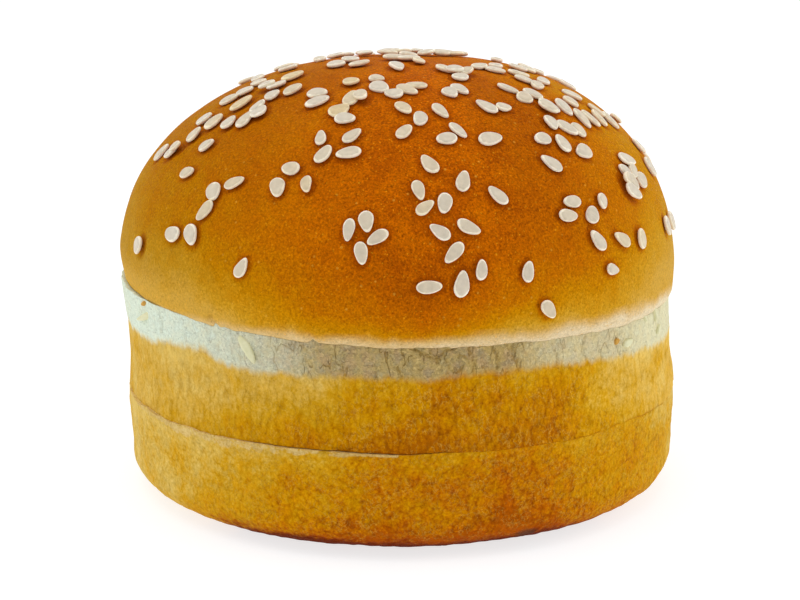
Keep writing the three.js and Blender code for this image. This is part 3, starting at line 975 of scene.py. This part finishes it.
class Finish:
    """A material that is built up node by node."""

    def __init__(self, name):
        self.material = bpy.data.materials.new(name)
        self.material.use_nodes = True
        self.tree = self.material.node_tree
        self.tree.nodes.clear()
        self.place = self.node("ShaderNodeTexCoord", out="Object")

    def node(self, kind, settings=None, sockets=None, out=0):
        made = self.tree.nodes.new(kind)
        for key, value in (settings or {}).items():
            if key == "stops":
                self.set_stops(made.color_ramp, value)
            else:
                setattr(made, key, value)
        for key, value in (sockets or {}).items():
            if isinstance(value, Wire):
                self.tree.links.new(value.socket, made.inputs[key])
            else:
                made.inputs[key].default_value = value
        return Wire(self, made.outputs[out])

    def set_stops(self, ramp, stops):
        while len(ramp.elements) < len(stops):
            ramp.elements.new(0.5)
        for element, (position, colour) in zip(ramp.elements, stops):
            element.position = position
            element.color = colour

    def stored(self, name):
        """A number kept at each point of the mesh."""
        return self.node("ShaderNodeAttribute", {"attribute_name": name}, out="Fac")

    def stretched(self, x, y, z):
        """The place on the object, stretched along its axes."""
        return self.node("ShaderNodeVectorMath", {"operation": "MULTIPLY"}, {0: self.place, 1: (x, y, z)})

    def spread(self, size, place, **more):
        """Sockets of a texture whose features are about size millimetres across."""
        return {"Vector": place or self.place, "Scale": 1 / (size * MM), **more}

    def grain(self, size, detail=2.0, rough=0.5, place=None):
        """Soft noise from 0 to 1."""
        sockets = self.spread(size, place, Detail=detail, Roughness=rough)
        return self.node("ShaderNodeTexNoise", {}, sockets, out="Fac")

    def wave(self, *noise):
        """The same noise, from -0.5 to 0.5."""
        return self.grain(*noise) - 0.5

    def thread(self, thinness, *noise):
        """1 along thin wandering lines, where a noise crosses its middle value, and 0 off them."""
        return 1 - (abs(self.wave(*noise)) * thinness).clamped()

    def warped(self, amount, size, place=None):
        """The place on the object, shaken by noise so that regular patterns lose their order."""
        noise = self.node("ShaderNodeTexNoise", {}, self.spread(size, place, Detail=1.0), out="Color")
        shift = self.shade(noise, amount * MM)
        return self.node("ShaderNodeVectorMath", {"operation": "ADD"}, {0: place or self.place, 1: shift})

    def cells(self, size, place=None):
        """Distance from the middle of scattered cells, as a share of their size."""
        return self.node("ShaderNodeTexVoronoi", {}, self.spread(size, place), out="Distance")

    def humps(self, size, place):
        """Rounded humps with creases all round them."""
        return 0.3 - self.cells(size, place) ** 2

    def dots(self, size, start, end, place=None):
        """1 inside scattered dots that fade out from start to end."""
        return 1 - self.cells(size, place).step(start, end)

    def ramp(self, value, stops):
        """A colour read from stops of (value, red, green, blue)."""
        stops = [(position, tint(*colour)) for position, *colour in stops]
        return self.node("ShaderNodeValToRGB", {"stops": stops}, {"Fac": value})

    def mix(self, mask, under, over):
        """Over laid on the colour under, as far as mask says."""
        return self.node("ShaderNodeMix", {"data_type": "RGBA"}, {0: mask, 6: under, 7: over}, out=2)

    def shade(self, colour, share):
        """The colour made brighter or darker by a share that may change over the surface."""
        return self.node("ShaderNodeVectorMath", {"operation": "SCALE"}, {0: colour, "Scale": share})

    def bumps(self, height, depth):
        """A normal from a height of 0 to 1 that stands depth millimetres deep."""
        return self.node("ShaderNodeBump", {}, {"Height": height, "Distance": depth * MM, "Strength": 1.0})

    def surface(self, colour, roughness, normal, **constants):
        """The shader itself. Constants are set on its own sockets."""
        sockets = {"Base Color": colour, "Roughness": roughness, "Normal": normal}
        sockets.update({key.replace("_", " "): value for key, value in constants.items()})
        shader = self.node("ShaderNodeBsdfPrincipled", {}, sockets)
        output = self.tree.nodes.new("ShaderNodeOutputMaterial")
        self.tree.links.new(shader.socket, output.inputs["Surface"])
        return self.material


def tint(red, green, blue):
    """A colour as it looks on a screen, 0 to 255, turned into the light that Blender mixes."""
    shares = np.array([red, green, blue]) / 255
    linear = np.where(shares <= 0.04045, shares / 12.92, ((shares + 0.055) / 1.055) ** 2.4)
    return (*linear.tolist(), 1.0)


# %% [markdown]
# ## The crown's crust
#
# Browned crust is a thin skin that hardly shines in this soft light. Its colour runs from
# cream at the cut through gold to a deep orange brown. On top of the slow change there are
# soft clouds a few millimetres wide and a fine grain, where tiny blisters browned more
# or less than the skin beside them. The same grain lifts the surface slightly, and its
# hollows are painted darker and its tops lighter, as painted shade and light.

# %% Crust of the dome
CRUST_TONES = [(0.0, 219, 170, 66), (0.16, 215, 158, 32), (0.34, 210, 140, 2), (0.54, 204, 119, 0),
               (0.76, 196, 103, 0), (0.92, 185, 93, 0), (1.0, 174, 83, 0)]


def crumb_colour(finish):
    """Pale, holey crumb for a cut face."""
    holes = finish.cells(1.3).step(0.1, 0.5)
    return finish.mix(holes, tint(206, 186, 142), tint(240, 228, 198))


def dome_crust():
    finish = Finish("baked_dome_crust")
    browned, pale, cream = finish.stored("browned"), finish.stored("pale_edge"), finish.stored("cream")
    # Round each seed the crust is painted darker and redder, as painted shadow.
    seat_and_shade, cut = finish.stored("seed_seat"), finish.stored("cut_face")
    # Painted light and shade of each side of the crown, which scales its colour.
    washed = finish.stored("washed")
    clouds, patches = finish.wave(9, 3), finish.wave(3, 3, 0.6)
    leather, dust = finish.wave(0.45, 3, 0.7), finish.wave(0.3, 2, 0.7)
    pebbles = finish.humps(0.36, finish.warped(0.36, 0.6))
    furrow = finish.thread(14, 0.9, 2, 0.6)
    blotches = (clouds * 0.35 + patches * 0.4) * (0.6 + browned * 0.4)
    blisters = (leather * 0.5 + dust * 0.4) * (0.3 + browned * 0.5)
    colour = finish.ramp(browned * 0.86 + seat_and_shade * 0.3 + blotches - blisters, CRUST_TONES)
    edge_colour = finish.mix(cream, tint(229, 184, 92), tint(240, 222, 186))
    wisps = finish.wave(1.1, 3, 0.65, finish.stretched(0.35, 0.35, 1))
    pale_tone = (pale * (0.55 + cream * 0.5) + (leather * 0.4 + wisps * 0.9) * pale).clamped()
    colour = finish.mix(pale_tone, colour, edge_colour)
    flecks = finish.dots(2.0, 0.05, 0.14)
    sparks = finish.dots(0.75, 0.06, 0.2, finish.warped(0.5, 0.7))
    strength = 0.45 + browned * 0.45
    colour = finish.mix(flecks * 0.4, colour, tint(240, 180, 64))
    colour = finish.mix(sparks * 0.5, colour, tint(236, 172, 36))
    # The grain's tops are painted lighter and its hollows darker, as painted light and shade.
    relief_and_shade = leather * 0.8 + pebbles * 0.3 + dust * 1.3 - furrow * 0.12
    colour = finish.shade(colour, (1 + relief_and_shade * strength - seat_and_shade * 0.1) * washed)
    colour = finish.mix(cut, colour, crumb_colour(finish))
    normal = finish.bumps(relief_and_shade + flecks * 0.4, 0.14)
    return finish.surface(colour, 0.6 + pale * 0.2 + leather * 0.3, normal, Specular_IOR_Level=0.01)


crown.data.materials.append(dome_crust())

# %% [markdown]
# ## The side of the club
#
# Two surfaces meet in a soft line. The white band is torn crumb: matt, full of tiny pores
# and wavy upright splits, whose dark olive is painted shade. It is painted cool on one side
# and warmer and brighter on the other, as painted light, and darker at the front, as painted
# shade under the crown's lip. The skin below is gold. Its grain is drawn out upright,
# because the dough was stretched that way while it rose, and thin pale threads stand out of it.
#
# A thin wandering line is the place where a noise crosses its middle value, so the splits
# and the threads are both made by taking the distance from that value. The wrinkles are
# cells of a Voronoi texture, shaken by noise: squared, the distance from a cell's middle is
# a rounded hump with a crease all round it.

# %% Pan skin and torn white crumb
CLUB_TONES = [(0.0, 224, 189, 98), (0.15, 216, 174, 74), (0.36, 206, 155, 24), (0.58, 198, 138, 0),
              (0.8, 187, 119, 0), (1.0, 168, 94, 0)]
HEEL_TONES = [(0.0, 226, 193, 104), (0.15, 218, 180, 80), (0.36, 212, 159, 24), (0.58, 205, 141, 0),
              (0.8, 195, 117, 0), (1.0, 178, 88, 0)]


class PanSkin:
    """Golden skin, wrinkled and grainy, with pale threads, and darker where it browned more."""

    def __init__(self, finish, browned, tones, drawn_out, wrinkle):
        drawn = finish.stretched(1, 1, drawn_out)
        streaks = finish.wave(0.7, 3, 0.65, drawn)
        self.specks = finish.wave(0.36, 2, 0.65)
        humps = finish.humps(wrinkle, finish.warped(wrinkle * 0.9, wrinkle * 1.6, drawn))
        clouds, patches = finish.wave(6, 3), finish.wave(2.4, 3, 0.65)
        threads = finish.thread(20, 0.8, 2, 0.6, drawn) * finish.grain(2.6, 2, 0.6).step(0.36, 0.6)
        grip = (0.3 + browned).clamped()
        # Crests are painted lighter and yellower and creases darker and browner: partly the grain's own
        # tone, partly painted light and shade.
        crest_light_and_grain = streaks * 0.5 + self.specks * 0.95 + humps * 0.4
        tone = 0.15 + browned * 0.86 + clouds * 0.6 + patches * 0.5 - crest_light_and_grain * (0.3 + grip * 0.2)
        skin = finish.mix(threads * 0.3, finish.ramp(tone, tones), tint(238, 192, 84))
        self.colour = finish.shade(skin, 1 + crest_light_and_grain * (0.2 + grip * 0.45) + patches * 0.35)
        grain = streaks * 0.6 + self.specks * 0.5 + humps
        self.height = grain * (0.5 + grip * 0.5) + threads * 0.3


def club_side():
    finish = Finish("pan_skin_and_white_band")
    band, cracked, cut = finish.stored("band"), finish.stored("cracked"), finish.stored("cut_face")
    shaded, warmth = finish.stored("shaded"), finish.stored("warmth")
    skin = PanSkin(finish, finish.stored("browned"), CLUB_TONES, 0.6, 0.8)
    upright = finish.stretched(1, 1, 0.45)
    strands = finish.wave(1.0, 3, 0.6, upright)
    torn = (band + strands * 1.6 * band * (1 - band) * 4).clamped()
    fluff, fine = finish.wave(1.5, 4, 0.65), finish.wave(0.4, 2, 0.6)
    # The white is painted cool on the left and warm on the right, as painted light.
    unshaded_white = finish.mix(warmth, tint(229, 241, 222), tint(236, 230, 190))
    # Painted shade under the crown's lip at the front: a darker, duller white.
    painted_shade_white = finish.mix(warmth, tint(187, 170, 122), tint(188, 161, 100))
    rosy = finish.grain(2.2, 2, 0.6).step(0.42, 0.62)
    painted_shade_white = finish.mix(rosy * 0.5, painted_shade_white, tint(180, 150, 118))
    white = finish.mix((shaded + fluff * 1.1).clamped(), unshaded_white, painted_shade_white)
    splits = finish.thread(34, 2.0, 2, 0.6, upright) * finish.grain(2.4, 2).step(0.4, 0.6)
    nicks = finish.thread(9, 0.8, 2, 0.6)
    # Splits, cracks, nicks and the gap under the flap are painted dark olive, as painted shade in them.
    depth = (splits + cracked * 0.9 + nicks * 0.35 * shaded).clamped() * (0.15 + shaded * 0.85)
    white = finish.mix(depth * 0.65, white, tint(138, 106, 38))
    pores = finish.dots(0.9, 0.08, 0.2)
    threads = 1 - (abs(fluff) * 18).clamped()
    uneven = fluff * 0.9 + fine * 1.2 + threads * 0.2
    white = finish.shade(white, 1 + uneven * (0.35 + shaded * 0.65) - pores * 0.15)
    # The skin is painted brighter on the right, as painted light.
    gold = finish.shade(skin.colour, 1 + warmth * 0.1)
    colour = finish.mix(torn, gold, white)
    colour = finish.mix(cut * 0.8, colour, crumb_colour(finish))
    crumb = fluff * 1.4 + fine * 0.6 + threads * 0.3 - pores * 0.3 - depth * 0.8
    normal = finish.bumps(skin.height * (1 - band) + crumb * band, 0.24)
    return finish.surface(colour, 0.7 + band * 0.2, normal, Specular_IOR_Level=0.02)


club.data.materials.append(club_side())

# %% [markdown]
# ## The side and base of the heel
#
# The heel has the same pan skin, but grainy instead of drawn out, and towards the base the
# fat in the pan fried it to a red brown. Its lowest edge is near black, partly burnt and
# partly painted shadow where it meets the table. The ledge along the cut is bare crumb,
# so it is pale and rough.

# %% Pan skin, fried base with painted shadow, and crumb ledge
def heel_side():
    finish = Finish("pan_skin_and_fried_shaded_base")
    scorched, smudged = finish.stored("scorched"), finish.stored("smudged")
    ledge, cut = finish.stored("crumb_ledge"), finish.stored("cut_face")
    skin = PanSkin(finish, finish.stored("browned"), HEEL_TONES, 0.9, 0.75)
    coarse = finish.wave(1.1, 3, 0.7)
    fried = (scorched * 1.05 + coarse * 1.6 - 0.05).step(0.05, 0.9)
    colour = finish.mix(fried * 0.85, skin.colour, tint(156, 62, 0))
    # Near black at the very base, partly burnt crust and partly painted shadow where it meets the table.
    burnt_and_shaded = (scorched + coarse * 0.8).step(0.45, 0.9)
    colour = finish.mix(burnt_and_shaded * 0.85, colour, tint(92, 26, 4))
    smudge = (smudged + coarse * 0.8 * smudged).step(0.3, 0.8)
    colour = finish.mix(smudge * 0.7, colour, tint(84, 60, 44))
    colour = finish.shade(colour, 1 + coarse * 0.5)
    torn = finish.grain(0.8, 3, 0.7) + finish.grain(2.4, 2, 0.6) - 1
    crumbly = (ledge + torn * 3.0 * ledge).step(0.3, 0.95)
    lightness = (0.5 + skin.specks * 1.4 + coarse).clamped()
    bare = finish.mix(lightness, tint(200, 158, 66), tint(236, 212, 150))
    colour = finish.mix(crumbly * 0.85, colour, bare)
    colour = finish.mix(cut * 0.8, colour, crumb_colour(finish))
    normal = finish.bumps(skin.height + coarse * 0.6, 0.22)
    return finish.surface(colour, 0.68 + ledge * 0.2, normal, Specular_IOR_Level=0.02)


heel.data.materials.append(heel_side())

# %% [markdown]
# ## Seeds' finish
#
# A hulled seed is creamy white and lets a little light through, so its thick middle looks
# greyer than its thin edge. That whiter edge is painted into its colour, as painted light.
# Subsurface scattering gives that softness. It is a constant, so it is set on the shader's
# own sockets.

# %% Hulled seed
def hulled_seed():
    finish = Finish("hulled_sesame")
    edge, tone = finish.stored("seed_edge"), finish.stored("seed_tone")
    cloud = finish.wave(0.9, 2)
    middle = finish.mix(tone, tint(218, 206, 186), tint(220, 194, 142))
    # The thin edge is painted whiter, as painted light shining through it.
    painted_lit_rim = finish.mix(tone, tint(253, 243, 222), tint(246, 226, 178))
    colour = finish.mix((edge + cloud * 0.35).step(0.76, 0.93), middle, painted_lit_rim)
    colour = finish.shade(colour, 1 + cloud * 0.35)
    ridges = finish.bumps(finish.grain(0.45, 2), 0.06)
    return finish.surface(colour, 0.4, ridges, Specular_IOR_Level=0.3, Subsurface_Weight=0.2,
                          Subsurface_Radius=(1, 0.8, 0.6), Subsurface_Scale=0.4 * MM)


def mottled(name, size, one_tone, other_tone, roughness, ridge_size, ridge_depth, **constants):
    """A plain finish that wavers between two tones over slight ridges."""
    finish = Finish(name)
    colour = finish.mix(finish.grain(size), tint(*one_tone), tint(*other_tone))
    ridges = finish.bumps(finish.grain(ridge_size), ridge_depth)
    return finish.surface(colour, roughness, ridges, Specular_IOR_Level=0.1, **constants)


seed_finish = hulled_seed()
for piece in seed_pieces.values():
    piece.data.materials.append(seed_finish)
stray_seeds.data.materials.append(
    mottled("pale_seed_sliver", 0.8, (216, 214, 166), (240, 236, 200), 0.5, 0.45, 0.06))
brown_crumbs.data.materials.append(
    mottled("brown_crust_crumb", 0.4, (220, 172, 88), (196, 144, 62), 0.7, 0.3, 0.08))

# %% [markdown]
# ## Studio
#
# The bun stands on a plain white table in soft light. Large lamps stand on the left and the
# right and one hangs above, so that the sides are bright and the front is a little deeper
# in colour. The world fills in the rest.

# %% Table and light
low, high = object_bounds()
middle = (low + high) / 2
TABLE_HALF = 4.0
TABLE_DROP = 0.0001            # keeps the table from sharing a plane with the heel's base

table_mesh = bpy.data.meshes.new("studio_table")
corners = [(x * TABLE_HALF, y * TABLE_HALF, 0) for x, y in [(-1, -1), (1, -1), (1, 1), (-1, 1)]]
table_mesh.from_pydata(corners, [], [(0, 1, 2, 3)])
table = bpy.data.objects.new("studio_table", table_mesh)
table.location.z = low.z - TABLE_DROP
bpy.context.scene.collection.objects.link(table)
table_mesh.materials.append(
    mottled("white_table", 60, (158, 160, 162), (164, 166, 168), 0.8, 2, 0.01,
            Emission_Color=(1, 1, 1, 1), Emission_Strength=0.74))


def soft_lamp(name, offset, width, power, colour=(1, 1, 1)):
    """A square lamp that looks at the bun from an offset in metres."""
    lamp = bpy.data.lights.new(name, "AREA")
    lamp.size = width
    lamp.energy = power
    lamp.color = colour
    holder = bpy.data.objects.new(name, lamp)
    holder.location = middle + Vector(offset)
    holder.rotation_euler = (-Vector(offset)).to_track_quat("-Z", "Y").to_euler()
    bpy.context.scene.collection.objects.link(holder)


soft_lamp("lamp_left", (-0.55, -0.06, 0.22), 0.5, 0.36, (0.97, 0.98, 1.0))
soft_lamp("lamp_right", (0.55, -0.06, 0.2), 0.5, 0.61, (1.0, 0.99, 0.96))
soft_lamp("lamp_above", (-0.12, -0.12, 0.6), 0.4, 0.62)

ROOM_LIGHT = 0.99
FRONT_LIGHT = 0.38             # the room is dimmer behind the camera

world = bpy.data.worlds.new("studio_world")
bpy.context.scene.world = world
world.use_nodes = True
room = world.node_tree
backdrop = room.nodes["Background"]
toward = room.nodes.new("ShaderNodeTexCoord")
apart_axes = room.nodes.new("ShaderNodeSeparateXYZ")
dimming = room.nodes.new("ShaderNodeMapRange")
dimming.interpolation_type = "SMOOTHSTEP"
for key, value in {"From Min": -0.95, "From Max": 0.1, "To Min": FRONT_LIGHT, "To Max": ROOM_LIGHT}.items():
    dimming.inputs[key].default_value = value
room.links.new(toward.outputs["Generated"], apart_axes.inputs["Vector"])
room.links.new(apart_axes.outputs["Y"], dimming.inputs["Value"])
room.links.new(dimming.outputs["Result"], backdrop.inputs["Strength"])
backdrop.inputs["Color"].default_value = (1, 1, 1, 1)
bpy.context.scene.view_settings.view_transform = "Standard"

# %% [markdown]
# ## Camera
#
# A short telephoto lens at arm's length, a little above the bun and looking slightly down.

# %% Camera
LENS = 72
EYE = (-0.0003, -0.2624, 0.0877)
LOOKING_DOWN = 12.67

camera_data = bpy.data.cameras.new("camera")
camera_data.lens = LENS
camera_data.sensor_width = 36
camera_data.clip_start = 0.01
camera = bpy.data.objects.new("camera", camera_data)
camera.location = Vector(EYE)
camera.rotation_euler = (np.radians(90 - LOOKING_DOWN), 0, 0)
bpy.context.scene.collection.objects.link(camera)
bpy.context.scene.camera = camera
